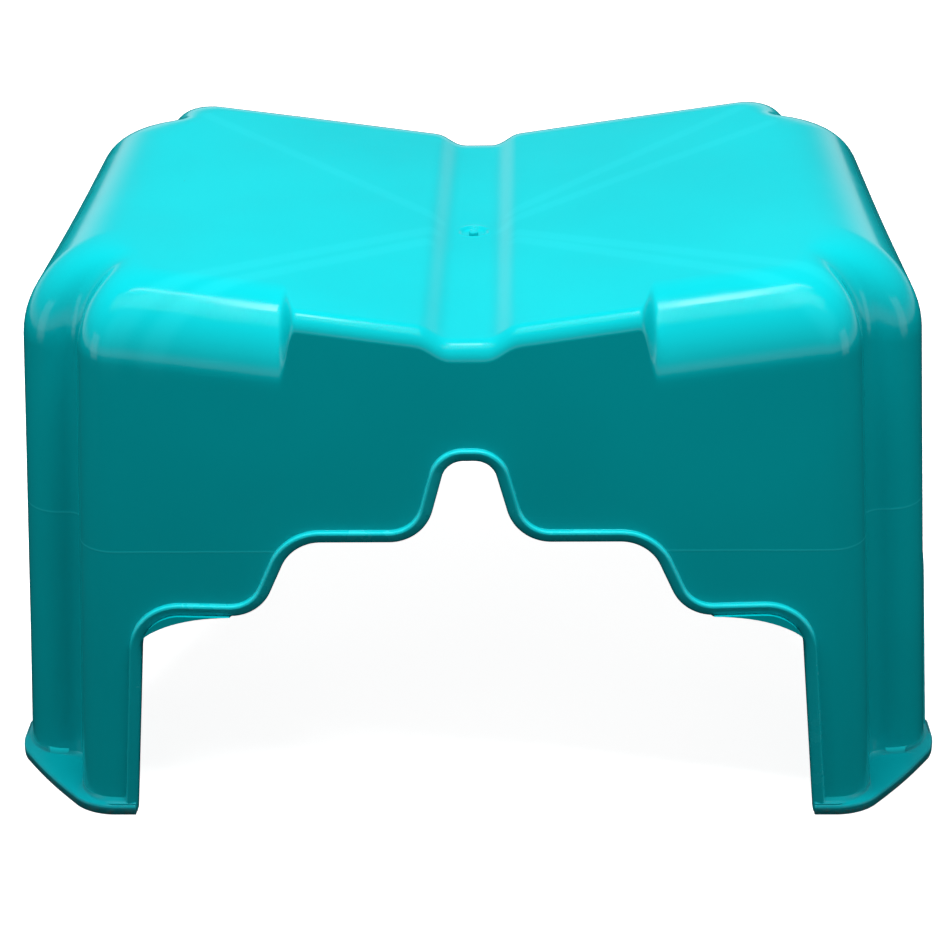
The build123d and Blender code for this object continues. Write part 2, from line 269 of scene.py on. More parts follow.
def quarterBlocks(isFront):
    # Grids of the right-hand quarter, each with the name of the region that each column belongs to.
    height = np.full(total, body["valley"])
    for _ in range(6):
        sharp = wallPoint(height)
        height = seatHeight(sharp[:, 0], sharp[:, 1])
    sharp = wallPoint(height)
    deckX, deckY = deckLoop(sharp)
    loop = np.column_stack([deckX, deckY, seatHeight(deckX, deckY)])
    radius = rollRadius(sharp[:, 0], isFront)
    share = radius / (body["deckInset"] + cornerTurn() * (body["sideInset"] - body["deckInset"]))
    inner = sharp + share[:, None] * (loop - sharp)
    inner[:, 2] = seatHeight(inner[:, 0], inner[:, 1])
    rollFoot = height - radius
    seam = wallPoint(height - body["seamDrop"])

    # Rolled edge: a conic from the wall to the seat, whose control point is the sharp edge itself.
    t = np.linspace(0, 1, count["roll"] + 1)[:, None, None]
    weight = 2 * np.cos(np.pi / 4) * t * (1 - t)
    start = wallPoint(rollFoot)
    roll = ((1 - t) ** 2 * start + weight * sharp + t ** 2 * inner) / ((1 - t) ** 2 + weight + t ** 2)
    lowStrip = mix(seam, start, np.linspace(0, 1, count["lowStrip"] + 1))[:-1]
    highStrip = mix(inner, loop, np.linspace(0, 1, count["highStrip"] + 1))[1:]
    highStrip[..., 2] = seatHeight(highStrip[..., 0], highStrip[..., 1])
    edge = np.concatenate([lowStrip, roll, highStrip])
    middle = sharp[:, 0][:-1] + np.diff(sharp[:, 0]) / 2
    edgeNames = np.full(len(middle), "tread", dtype=object)
    if isFront:
        edgeNames[:frontCount - 1][middle[:frontCount - 1] < tab["half"] + tab["blend"]] = "fascia"
    else:
        edgeNames[:frontCount - 1][middle[:frontCount - 1] < channel["edge"]] = "channel"
    blocks = [(edge, edgeNames)]

    # Walls above the witness line, from the arch or the line itself up to the seam.
    witness = wallPoint(np.full(len(height), body["witness"]))
    lower = witness.copy()
    follow = len(frontStations)
    path = pointsAlong(frontTop, frontStations / frontStations[-1])
    lower[:follow, 0] = path[:, 0]
    lower[:follow, 2] = path[:, 1]
    lower[follow:frontCount, 0] = frontLeg[-1, 0] + stretch * (witness[frontCount - 1, 0] - frontLeg[-1, 0])
    lower[:frontCount, 1] = -(body["centreHalf"][1] - body["lean"] * lower[:frontCount, 2])
    path = pointsAlong(sideTop, sideStations / sideStations[0])
    side = len(lower) - len(sideStations)
    lower[side:, 1] = -path[:, 0]
    lower[side:, 2] = path[:, 1]
    first = frontCount + fanCount
    lower[first:side, 1] = -sideLeg[-1, 0] + (1 - stretch[:-1]) * (witness[first - 1, 1] + sideLeg[-1, 0])
    lower[side:, 0] = body["wingHalf"][0] - body["lean"] * lower[side:, 2]
    upper = mix(lower, seam, np.linspace(0, 1, count["upper"] + 1))
    names = np.full(len(middle), "sideApron", dtype=object)
    names[:frontCount + len(arcSteps) + len(returnSteps) - 1] = "endApron"
    blocks.append((upper, names))

    # Legs: rows climb the arch edge on one side and the corner on the other.
    rows = np.linspace(0, 1, count["leg"] + 1)
    heights = rows * body["witness"]
    frontEdge, sideEdge = pointsAlong(frontLeg, rows), pointsAlong(sideLeg, rows)
    share = np.concatenate([[0], stretch])[None, :]
    plans = np.stack([outline(z) for z in heights])
    cornerX = plans[:, frontCount - 1, 0][:, None]
    x = frontEdge[:, :1] + share * (cornerX - frontEdge[:, :1])
    z = frontEdge[:, 1:] + share * (heights[:, None] - frontEdge[:, 1:])
    front = np.stack([x, -(body["centreHalf"][1] - body["lean"] * z), z], -1)
    fan = plans[:, frontCount:first]
    fan = np.concatenate([fan, np.broadcast_to(heights[:, None, None], fan.shape[:2] + (1,))], -1)
    cornerY = plans[:, first - 1, 1][:, None]
    share = stretch[None, :]
    y = cornerY + share * (-sideEdge[:, :1] - cornerY)
    z = heights[:, None] + share * (sideEdge[:, 1:] - heights[:, None])
    side = np.stack([body["wingHalf"][0] - body["lean"] * z, y, z], -1)
    leg = np.concatenate([front, fan, side], 1)
    blocks.append((leg, np.full(leg.shape[1] - 1, "leg", dtype=object)))

    # The flat seat: a strip along the channel, and the tread between the strip and the loop.
    strip = int(np.searchsorted(frontStations, channel["edge"] - 1e-9))
    cut = frontCount + fanCount // 2
    rightCount = len(height) - cut
    near = np.linspace(channel["fineEnd"], 0, count["seatNear"])
    far = np.linspace(-loop[0, 1], channel["fineEnd"], rightCount - len(near) + 1)[:-1]
    lines = -np.concatenate([far, near])
    grid = np.stack(np.broadcast_arrays(frontStations[None, :strip + 1], lines[:, None]), -1)
    blocks.append((lift(grid), np.full(strip, "channel", dtype=object)))
    bottom = loop[strip:cut + 1, :2]
    right = loop[cut:, :2]
    left = np.column_stack([np.full(len(lines), frontStations[strip]), lines])
    topX = np.linspace(frontStations[strip], right[-1, 0], len(bottom))
    top = np.column_stack([topX, np.zeros(len(bottom))])
    patch = coons(bottom, top, left, right)
    blocks.append((lift(patch), np.full(len(bottom) - 1, "tread", dtype=object)))
    return blocks


def lift(plan):
    # Plan points raised onto the seat.
    return np.concatenate([plan, seatHeight(plan[..., 0], plan[..., 1])[..., None]], -1)


def gridFaces(rows, columns):
    # Quads between the neighbouring points of a grid, by their places in the flat list.
    index = np.arange(rows * columns).reshape(rows, columns)
    return np.stack([index[:-1, :-1], index[:-1, 1:], index[1:, 1:], index[1:, :-1]], -1).reshape(-1, 4)


weldsPerMetre = 2e6                                   # points closer than half a micrometre are made one


def wholeSurface():
    # The four quarters mirrored into place, with the points that they share made one.
    points, faces, names, start = [], [], [], 0
    for end, flipY in (("front", 1), ("rear", -1)):
        for hand, flipX in (("right", 1), ("left", -1)):
            regions = {
                "leg": "leg_" + end + "_" + hand,
                "endApron": end + "_apron", "sideApron": hand + "_apron",
                "tread": "tread_" + hand, "channel": "centre_channel", "fascia": "front_fascia",
            }
            for grid, columnNames in quarterBlocks(end == "front"):
                quads = gridFaces(*grid.shape[:2])
                if flipX * flipY < 0:
                    quads = quads[:, ::-1]
                flat = grid.reshape(-1, 3) * np.array([flipX, flipY, 1])
                if end == "rear":
                    flat = regate(flat)
                points.append(flat)
                faces.append(quads + start)
                names.append(np.tile([regions[name] for name in columnNames], grid.shape[0] - 1))
                start += len(flat)
    points, faces, names = np.vstack(points), np.vstack(faces), np.concatenate(names)
    keys = np.round(points * weldsPerMetre).astype(np.int64)
    first, same = np.unique(keys, axis=0, return_index=True, return_inverse=True)[1:]
    return points[first], same.ravel()[faces], names


def regate(points):
    # The rear quarters are mirrored from the front, so the gate mark there is worked out again.
    reach, lowest = 0.03, 0.19
    onSeat = (np.abs(points[:, 0]) < reach) & (np.abs(points[:, 1]) < reach) & (points[:, 2] > lowest)
    points[onSeat, 2] = seatHeight(points[onSeat, 0], points[onSeat, 1])
    return points


points, faces, names = wholeSurface()
corners = points[faces]
faceNormals = np.cross(corners[:, 2] - corners[:, 0], corners[:, 3] - corners[:, 1])
normals = np.zeros_like(points)
for column in range(4):
    np.add.at(normals, faces[:, column], faceNormals)
normals /= np.linalg.norm(normals, axis=1)[:, None]
print("surface of the moulding:", len(points), "points,", len(faces), "faces")


def makeObject(name, points, faces, material, cornerNormals=None):
    # A new piece at the origin that stands for the region of the same name.
    mesh = bpy.data.meshes.new(name)
    mesh.from_pydata(points.tolist(), [], [list(face) for face in faces])
    mesh.polygons.foreach_set("use_smooth", np.ones(len(mesh.polygons), dtype=bool))
    mesh.materials.append(material)
    mesh.update()
    if cornerNormals is not None:
        mesh.normals_split_custom_set(cornerNormals.tolist())
    piece = bpy.data.objects.new(name + "_look", mesh)
    bpy.context.scene.collection.objects.link(piece)
    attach(piece, "root")
    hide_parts(name)
    return piece


def shellPiece(name, material):
    # The region's outside, the same surface moved in along its normals by the wall's thickness and turned
    # over, and a strip round its open edges. The outside keeps the whole moulding's normals, so that the
    # joins don't show.
    chosen = faces[names == name]
    used, index = np.unique(chosen, return_inverse=True)
    outer = index.reshape(-1, 4)
    outside = points[used]
    inside = outside - normals[used] * body["wall"]
    inside[:, 2] = np.maximum(inside[:, 2], 0)
    edges = np.concatenate([outer[:, [0, 1]], outer[:, [1, 2]], outer[:, [2, 3]], outer[:, [3, 0]]])
    size = len(used)
    forward, backward = edges[:, 0] * size + edges[:, 1], edges[:, 1] * size + edges[:, 0]
    rim = edges[~np.isin(forward, backward)]
    strips = np.column_stack([rim[:, 1], rim[:, 0], rim[:, 0] + size, rim[:, 1] + size])
    allPoints = np.vstack([outside, inside])
    allFaces = np.vstack([outer, outer[:, ::-1] + size, strips])
    quad = allPoints[strips]
    flat = np.cross(quad[:, 2] - quad[:, 0], quad[:, 3] - quad[:, 1])
    flat /= np.maximum(np.linalg.norm(flat, axis=1), 1e-12)[:, None]
    own = normals[used]
    cornerNormals = np.concatenate([
        own[outer].reshape(-1, 3), -own[outer[:, ::-1]].reshape(-1, 3), np.repeat(flat, 4, axis=0),
    ])
    return makeObject(name, allPoints, allFaces, material, cornerNormals)


def sweep(name, rings, material):
    # Closed rings of points joined one to the next, with a cap at each end, turned so that the volume is
    # positive. The attribute runs from nought to one round each ring.
    count, size = rings.shape[:2]
    start = np.arange(count - 1)[:, None] * size
    step = np.arange(size)[None, :]
    after = (step + 1) % size
    quads = np.stack([start + step, start + size + step, start + size + after, start + after], -1)
    quads = quads.reshape(-1, 4)
    caps = [list(range(size)), [(count - 1) * size + index for index in range(size)][::-1]]
    flat = rings.reshape(-1, 3)
    solid = flat[quads]
    facing = np.cross(solid[:, 1], solid[:, 2]) + np.cross(solid[:, 2], solid[:, 3])
    volume = np.einsum("ij,ij->", solid[:, 0], facing)
    allFaces = [list(face) for face in quads] + caps
    if volume < 0:
        allFaces = [face[::-1] for face in allFaces]
    piece = makeObject(name, flat, allFaces, material)
    across = piece.data.attributes.new("across", "FLOAT", "POINT")
    across.data.foreach_set("value", np.tile(np.arange(size) / size, count))


foot = {
    "reach": 0.0034, "thick": 0.0045, "fillet": 0.0030, "round": 0.0014, "under": 0.0004, "bulge": 0.0024,
    "sink": 0.0002,                                   # the fillet ends this far inside the wall
    "tuck": 0.001,                                    # the hidden inner edge lies this far inside it
}
bead = {
    "width": 0.0046, "proud": 0.0021, "fillet": 0.0010, "lap": 0.00025, "crest": 0.0013, "edge": 0.0012,
    "step": 0.0007, "sink": 0.0002, "deep": 0.0005, "inner": 0.0006, "points": 290,
}


def footRings():
    # The flange round one leg: a band between the wall and a curve outside it, which is the leg's outline
    # moved out, bridged straight across the notch.
    floor = outline(0.0)
    share = np.concatenate([[0], stretch])
    first = frontCount + fanCount
    frontX = arches["front"]["foot"] + share * (floor[frontCount - 1, 0] - arches["front"]["foot"])
    sideY = floor[first - 1, 1] + stretch * (-arches["side"]["foot"] - floor[first - 1, 1])
    front = np.column_stack([frontX, np.full(len(frontX), floor[0, 1])])
    side = np.column_stack([np.full(len(sideY), floor[-1, 0]), sideY])
    fan = floor[frontCount:first]
    wall = np.vstack([front, fan, side])
    reach, corner = foot["reach"], body["corner"]
    centres = [floor[frontCount - 1] + [0, corner], floor[first - 1] - [corner, 0]]
    heading = np.arctan2(centres[1][0] - centres[0][0], centres[1][1] - centres[0][1])
    swing = np.pi / 2 - heading
    arcs = [swing * arcSteps / arcSteps[-1], swing + (np.pi / 2 - swing) * arcSteps / arcSteps[-1]]
    rounds = [
        centre + (corner + reach) * np.column_stack([np.sin(arc), -np.cos(arc)])
        for centre, arc in zip(centres, arcs)
    ]
    begin = centres[1] + (corner + reach) * np.array([np.sin(swing), -np.cos(swing)])
    bridgeCount = fanCount - 2 * len(arcSteps)
    bridge = rounds[0][-1] + np.linspace(0, 1, bridgeCount + 1)[1:, None] * (begin - rounds[0][-1])
    fanOuter = np.vstack([rounds[0], bridge, rounds[1]])
    swell = np.sin(np.linspace(0, np.pi, len(fanOuter)))[:, None] ** 2 * foot["bulge"]
    fanOuter += swell * np.array([np.sin(swing), -np.cos(swing)])
    outer = np.vstack([front - [0, reach], fanOuter, side + [reach, 0]])
    moveX = np.concatenate([np.zeros(len(front)), np.ones(len(fan) + len(side))])
    moveY = np.concatenate([np.ones(len(front) + len(fan)), np.zeros(len(side))])
    move = np.column_stack([-moveX, moveY]) * body["lean"]
    heading = (outer - wall) / np.linalg.norm(outer - wall, axis=1)[:, None]
    thick, fillet, edge, under = foot["thick"], foot["fillet"], foot["round"], foot["under"]
    rows = []
    for angle in np.linspace(0, np.pi / 2, 6):
        z = thick + fillet * (1 - np.sin(angle))
        rows.append((wall + move * z + heading * (fillet * (1 - np.cos(angle)) - foot["sink"]), z))
    for angle in np.linspace(0, np.pi / 2, 6):
        rows.append((outer - heading * edge * (1 - np.sin(angle)), thick - edge * (1 - np.cos(angle))))
    for angle in np.linspace(0, np.pi / 2, 3):
        rows.append((outer - heading * under * (1 - np.cos(angle)), under * (1 - np.sin(angle))))
    rows.append((wall - heading * foot["tuck"], 0.0))
    rows.append((wall + move * (thick + fillet) - heading * foot["tuck"], thick + fillet))
    rings = [np.column_stack([plan, np.full(len(plan), z)]) for plan, z in rows]
    return np.stack(rings, axis=1)


def rimRings(kind):
    # A bead laid along the arch's edge on the leaning wall. Its section starts inside the wall, laps over the
    # edge, rises gently to a crest on the far side, and drops to the wall through a small fillet.
    half = pointsAlong(archPath(kind), np.linspace(0, 1, bead["points"]))
    path = np.vstack([half, (half * [-1, 1])[::-1][1:]])
    tangent = np.gradient(path, axis=0)
    tangent /= np.linalg.norm(tangent, axis=1)[:, None]
    away = np.column_stack([tangent[:, 1], -tangent[:, 0]])
    middle = away[len(away) // 2]
    away *= 1 if middle[1] > 0 else -1
    away[0] = away[-1] = [0, 0]
    away[0, 0], away[-1, 0] = 1, -1
    width, proud, fillet, lap = bead["width"], bead["proud"], bead["fillet"], bead["lap"]
    crest, edge = bead["crest"], bead["edge"]
    low = proud - bead["step"]
    section = [(-lap, -body["wall"] - lap), (-lap, low - edge)]
    for angle in np.linspace(0, np.pi / 2, 5)[1:]:
        section.append((-lap + edge * (1 - np.cos(angle)), low - edge * (1 - np.sin(angle))))
    for angle in np.linspace(0, np.pi / 2, 7):
        section.append((width - crest * (1 - np.sin(angle)), proud - crest * (1 - np.cos(angle))))
    for angle in np.linspace(0, np.pi / 2, 5):
        drop = (proud - crest + bead["sink"]) * (1 - np.sin(angle)) - bead["sink"]
        section.append((width + fillet * (1 - np.cos(angle)), drop))
    deep, inner = -bead["deep"], bead["inner"]
    section += [(width + fillet, deep), (inner, deep), (inner, -body["wall"] - lap)]
    section = np.array(section)
    flat = path[:, None] + away[:, None] * section[None, :, :1]
    flat[..., 1] = np.maximum(flat[..., 1], 0)
    tilt = np.arctan(body["lean"])
    depth = body["centreHalf"][1] if kind == "front" else body["wingHalf"][0]
    out = section[None, :, 1]
    across = depth - body["lean"] * flat[..., 1] + out * np.cos(tilt)
    height = np.maximum(flat[..., 1] + out * np.sin(tilt), 0)
    if kind == "front":
        return np.stack([flat[..., 0], -across, height], -1)
    return np.stack([across, flat[..., 0], height], -1)


class Tree:
    # Short ways to add shader nodes: values given to a node are numbers or other nodes' outputs.
    def __init__(self, tree):
        self.tree = tree

    def give(self, socket, value):
        if isinstance(value, bpy.types.NodeSocket):
            self.tree.links.new(value, socket)
        else:
            socket.default_value = value

    def node(self, kind, inputs=(), **settings):
        made = self.tree.nodes.new(kind)
        for key, value in settings.items():
            setattr(made, key, value)
        for key, value in dict(inputs).items():
            self.give(made.inputs[key], value)
        return made

    def math(self, operation, first, second=0.0, third=0.0):
        inputs = {0: first, 1: second, 2: third} if operation == "MULTIPLY_ADD" else {0: first, 1: second}
        return self.node("ShaderNodeMath", inputs, operation=operation).outputs[0]

    def remap(self, value, low, high, toLow=0.0, toHigh=1.0):
        inputs = {"Value": value, "From Min": low, "From Max": high, "To Min": toLow, "To Max": toHigh}
        return self.node("ShaderNodeMapRange", inputs, interpolation_type="SMOOTHSTEP").outputs["Result"]

    def noise(self, vector, scale, detail=2.0, roughness=0.5):
        inputs = {"Vector": vector, "Scale": scale, "Detail": detail, "Roughness": roughness}
        return self.node("ShaderNodeTexNoise", inputs).outputs["Fac"]

    def mix(self, factor, first, second):
        made = self.node("ShaderNodeMix", data_type="RGBA")
        inputs = {socket.name: socket for socket in made.inputs if socket.enabled}
        for key, value in {"Factor": factor, "A": first, "B": second}.items():
            self.give(inputs[key], value)
        return [socket for socket in made.outputs if socket.enabled][0]


def newGroup(name, inputs, outputs):
    group = bpy.data.node_groups.new(name, "ShaderNodeTree")
    for label, kind in inputs:
        group.interface.new_socket(label, in_out="INPUT", socket_type=kind)
    for label in outputs:
        group.interface.new_socket(label, in_out="OUTPUT", socket_type="NodeSocketFloat")
    tree = Tree(group)
    return group, tree, tree.node("NodeGroupInput"), tree.node("NodeGroupOutput")


def useGroup(tree, group, inputs):
    return tree.node("ShaderNodeGroup", inputs, node_tree=group)


def bandGroup():
    # Mask of a straight band on the plan: one where the distance to the line between two points is under
    # the half width, fading softly.
    group, tree, given, result = newGroup(
        "bandMask", [("Place", "NodeSocketVector"), ("Start", "NodeSocketVector"),
                     ("End", "NodeSocketVector"), ("Half Width", "NodeSocketFloat")], ["Mask"])

    def vector(operation, first, second):
        return tree.node("ShaderNodeVectorMath", {0: first, 1: second}, operation=operation)

    flat = vector("MULTIPLY", given.outputs["Place"], (1, 1, 0)).outputs[0]
    span = vector("SUBTRACT", given.outputs["End"], given.outputs["Start"]).outputs[0]
    offset = vector("SUBTRACT", flat, given.outputs["Start"]).outputs[0]
    dot = vector("DOT_PRODUCT", offset, span).outputs["Value"]
    square = vector("DOT_PRODUCT", span, span).outputs["Value"]
    share = tree.node("ShaderNodeClamp", {"Value": tree.math("DIVIDE", dot, square)}).outputs[0]
    scaled = tree.node("ShaderNodeVectorMath", {0: span, "Scale": share}, operation="SCALE").outputs[0]
    away = vector("DISTANCE", offset, scaled).outputs["Value"]
    edge = tree.math("MULTIPLY", given.outputs["Half Width"], 3.2)
    mask = tree.remap(away, given.outputs["Half Width"], edge, 1.0, 0.0)
    tree.tree.links.new(mask, result.inputs["Mask"])
    return group


grainLook = {
    # scales of the noises, and the share of each in the height
    "peelScale": 260.0, "slowScale": 34.0, "cloudScale": 11.0, "hazeScale": 45.0, "fine": 0.12, "peel": 0.35,
}


def grainGroup():
    # Fine moulded texture: a tight noise for the grain, a wider one for orange peel, and a slow one for
    # large soft unevenness; also a slow mask that varies the colour.
    group, tree, given, result = newGroup(
        "mouldedGrain", [("Place", "NodeSocketVector"), ("Grain", "NodeSocketFloat")],
        ["Height", "Cloud", "Haze"])
    place = given.outputs["Place"]
    fine = tree.noise(place, given.outputs["Grain"], 2.0, 0.5)
    peel = tree.noise(place, grainLook["peelScale"], 2.0)
    slow = tree.noise(place, grainLook["slowScale"], 1.0)
    broad = tree.math("MULTIPLY_ADD", peel, grainLook["peel"], slow)
    height = tree.math("MULTIPLY_ADD", fine, grainLook["fine"], broad)
    cloud = tree.noise(place, grainLook["cloudScale"], 3.0)
    haze = tree.noise(place, grainLook["hazeScale"], 4.0, 0.65)
    tree.tree.links.new(height, result.inputs["Height"])
    tree.tree.links.new(tree.remap(cloud, 0.3, 0.7), result.inputs["Cloud"])
    tree.tree.links.new(tree.remap(haze, 0.5, 0.75), result.inputs["Haze"])
    return group


marksLook = {
    # the cells that specks lie in, a speck's smallest radius and its spread, as shares of a cell, how the
    # noise that scratches follow is turned and stretched, their width, and the patches that hold them
    "cells": 78.0, "speckLeast": 0.022, "speckSpread": 0.045,
    "turn": (0.5, 0.7, 0.9), "stretch": (3, 130, 130), "lineWidth": 0.012, "patches": 24.0,
}


def marksGroup():
    # Small marks of use: specks are the middles of a few random cells, and scratches are the thin places
    # where a stretched noise crosses its middle value, kept to patches.
    group, tree, given, result = newGroup(
        "smallMarks", [("Place", "NodeSocketVector"), ("Specks", "NodeSocketFloat"),
                       ("Scratches", "NodeSocketFloat")], ["Speck", "Scratch"])
    place = given.outputs["Place"]
    cells = tree.node("ShaderNodeTexVoronoi", {"Vector": place, "Scale": marksLook["cells"]})
    chance = tree.node("ShaderNodeSeparateColor", {"Color": cells.outputs["Color"]})
    few = tree.math("LESS_THAN", chance.outputs[0], given.outputs["Specks"])
    size = tree.math("MULTIPLY_ADD", chance.outputs[1], marksLook["speckSpread"], marksLook["speckLeast"])
    dot = tree.remap(cells.outputs["Distance"], tree.math("MULTIPLY", size, 0.6), size, 1.0, 0.0)
    tree.tree.links.new(tree.math("MULTIPLY", dot, few), result.inputs["Speck"])
    turned = tree.node(
        "ShaderNodeMapping",
        {"Vector": place, "Rotation": marksLook["turn"], "Scale": marksLook["stretch"]})
    wave = tree.noise(turned.outputs[0], 1.0, 1.0)
    gap = tree.math("ABSOLUTE", tree.math("SUBTRACT", wave, 0.5))
    line = tree.remap(gap, 0.0, marksLook["lineWidth"], 1.0, 0.0)
    patch = tree.remap(tree.noise(place, marksLook["patches"], 1.0), 0.66, 0.72)
    thin = tree.math("MULTIPLY", tree.math("MULTIPLY", line, patch), given.outputs["Scratches"])
    tree.tree.links.new(thin, result.inputs["Scratch"])
    return group


witnessLook = {"waver": 0.0003, "core": 0.00015, "edge": 0.0006}


def witnessGroup():
    # The mould's witness line: a hair-thin raised line at one height, wavering a little.
    group, tree, given, result = newGroup("witnessLine", [("Place", "NodeSocketVector")], ["Line"])
    height = tree.node("ShaderNodeSeparateXYZ", {"Vector": given.outputs["Place"]}).outputs["Z"]
    drift = tree.noise(given.outputs["Place"], 60.0, 1.0)
    middle = body["witness"] - witnessLook["waver"] / 2
    waver = tree.math("MULTIPLY_ADD", drift, witnessLook["waver"], middle)
    away = tree.math("ABSOLUTE", tree.math("SUBTRACT", height, waver))
    line = tree.remap(away, witnessLook["core"], witnessLook["edge"], 1.0, 0.0)
    tree.tree.links.new(line, result.inputs["Line"])
    return group


band, grain, marks, witness = bandGroup(), grainGroup(), marksGroup(), witnessGroup()

plastic = {
    "colour": (0.0, 0.53, 0.58, 1), "shade": (0.0, 0.50, 0.55, 1), "pale": (0.02, 0.68, 0.73, 1),
    "dirt": (0.02, 0.10, 0.10, 1), "roughness": 0.13, "haze": 0.06, "bump": 0.00003,
    # The band tone is how far the ghost bands over the ribs are painted paler, as sheen.
    "bandSheenTone": 0.16, "bandHalf": 0.0016,
}
ghostBands = [
    # from, to: where the ribs underneath show through the seat, in metres on the plan
    ((-0.016, -0.007, 0), (-0.130, 0.0955, 0)), ((0.013, -0.014, 0), (0.138, 0.075, 0)),
    ((0.017, 0, 0), (0.128, 0.1035, 0)), ((-0.017, -0.0225, 0), (-0.140, -0.1375, 0)),
    ((-0.019, -0.038, 0), (-0.128, -0.142, 0)), ((0.0195, -0.028, 0), (0.146, -0.119, 0)),
    ((0.0195, -0.0365, 0), (0.139, -0.1325, 0)),
]
# The pale colour of the rim is a painted highlight along the bead's crest, between the two crest shares round
# its section.
rimPlastic = {
    "colour": (0.0, 0.50, 0.555, 1), "pale": (0.03, 0.78, 0.82, 1), "roughness": 0.24, "bump": 0.00005,
    "crestLow": 0.38, "crestHigh": 0.60, "crestHighlightStrength": 0.55,
}
# The flange colour is darkened as painted shade; scuff and grit are real wear and dirt.
footPlastic = {
    "colour": (0.0, 0.25, 0.29, 1), "scuff": (0.08, 0.28, 0.27, 1), "grit": (0.13, 0.10, 0.07, 1),
    "roughness": 0.32, "bump": 0.00009, "scuffTop": 0.0045,
}


def newMaterial(name):
    material = bpy.data.materials.new(name)
    material.use_nodes = True
    material.node_tree.nodes.clear()
    tree = Tree(material.node_tree)
    place = tree.node("ShaderNodeTexCoord").outputs["Object"]
    shader = tree.node("ShaderNodeBsdfPrincipled")
    shader.inputs["IOR"].default_value = 1.49
    output = tree.node("ShaderNodeOutputMaterial")
    tree.tree.links.new(shader.outputs[0], output.inputs["Surface"])
    return material, tree, place, shader


def connect(tree, shader, sockets):
    for key, value in sockets.items():
        tree.tree.links.new(value, shader.inputs[key])


def turquoiseMaterial():
    # Solid-coloured glossy plastic: slow colour drift, ghost bands over the ribs with painted sheen, the
    # witness line, specks, scratches and hazy patches, with a fine moulded grain in the bump.
    material, tree, place, shader = newMaterial("turquoisePlastic")
    texture = useGroup(tree, grain, {"Place": place, "Grain": 1500.0})
    use = useGroup(tree, marks, {"Place": place, "Specks": 0.030, "Scratches": 0.35})
    line = useGroup(tree, witness, {"Place": place})
    colour = tree.mix(texture.outputs["Cloud"], plastic["colour"], plastic["shade"])
    bands = 0.0
    for start, end in ghostBands:
        inputs = {"Place": place, "Start": start, "End": end, "Half Width": plastic["bandHalf"]}
        made = useGroup(tree, band, inputs).outputs["Mask"]
        bands = tree.math("MAXIMUM", made, bands)
    height = tree.node("ShaderNodeSeparateXYZ", {"Vector": place}).outputs["Z"]
    bands = tree.math("MULTIPLY", bands, tree.remap(height, 0.19, 0.205))
    # The ghost bands mark real ribs showing through, and their paler colour is painted sheen.
    colour = tree.mix(tree.math("MULTIPLY", bands, plastic["bandSheenTone"]), colour, plastic["pale"])
    colour = tree.mix(tree.math("MULTIPLY", line.outputs["Line"], 0.55), colour, plastic["pale"])
    colour = tree.mix(tree.math("MULTIPLY", use.outputs["Scratch"], 0.35), colour, plastic["pale"])
    colour = tree.mix(tree.math("MULTIPLY", use.outputs["Speck"], 0.8), colour, plastic["dirt"])
    rough = tree.math("MULTIPLY_ADD", texture.outputs["Haze"], plastic["haze"], plastic["roughness"])
    rough = tree.math("MULTIPLY_ADD", use.outputs["Scratch"], 0.15, rough)
    relief = tree.math("MULTIPLY_ADD", line.outputs["Line"], 1.2, texture.outputs["Height"])
    relief = tree.math("MULTIPLY_ADD", use.outputs["Scratch"], -0.5, relief)
    relief = tree.math("MULTIPLY_ADD", bands, -0.15, relief)
    bump = tree.node("ShaderNodeBump", {"Height": relief, "Distance": plastic["bump"], "Strength": 0.6})
    connect(tree, shader, {"Base Color": colour, "Roughness": rough, "Normal": bump.outputs[0]})
    return material


def rimMaterial():
    # The hem of the arches: the same plastic, paler along the crest of the bead as a painted highlight, with
    # a little random haze in its tone.
    material, tree, place, shader = newMaterial("rimPlastic")
    texture = useGroup(tree, grain, {"Place": place, "Grain": 1300.0})
    use = useGroup(tree, marks, {"Place": place, "Specks": 0.06, "Scratches": 1.0})
    across = tree.node("ShaderNodeAttribute", attribute_name="across").outputs["Fac"]
    # Painted highlight: the crest of the bead is drawn paler, strongest in the middle of its section.
    rise = tree.remap(across, rimPlastic["crestLow"], 0.5)
    fall = tree.remap(across, 0.5, rimPlastic["crestHigh"], 1.0, 0.0)
    crest = tree.math("MULTIPLY", tree.math("MULTIPLY", rise, fall), rimPlastic["crestHighlightStrength"])
    crestHighlightAndHaze = tree.math("MULTIPLY_ADD", texture.outputs["Haze"], 0.15, crest)
    colour = tree.mix(crestHighlightAndHaze, rimPlastic["colour"], rimPlastic["pale"])
    colour = tree.mix(tree.math("MULTIPLY", use.outputs["Speck"], 0.6), colour, plastic["dirt"])
    rough = tree.math("MULTIPLY_ADD", texture.outputs["Haze"], 0.12, rimPlastic["roughness"])
    bump = tree.node(
        "ShaderNodeBump",
        {"Height": texture.outputs["Height"], "Distance": rimPlastic["bump"], "Strength": 0.6})
    connect(tree, shader, {"Base Color": colour, "Roughness": rough, "Normal": bump.outputs[0]})
    return material


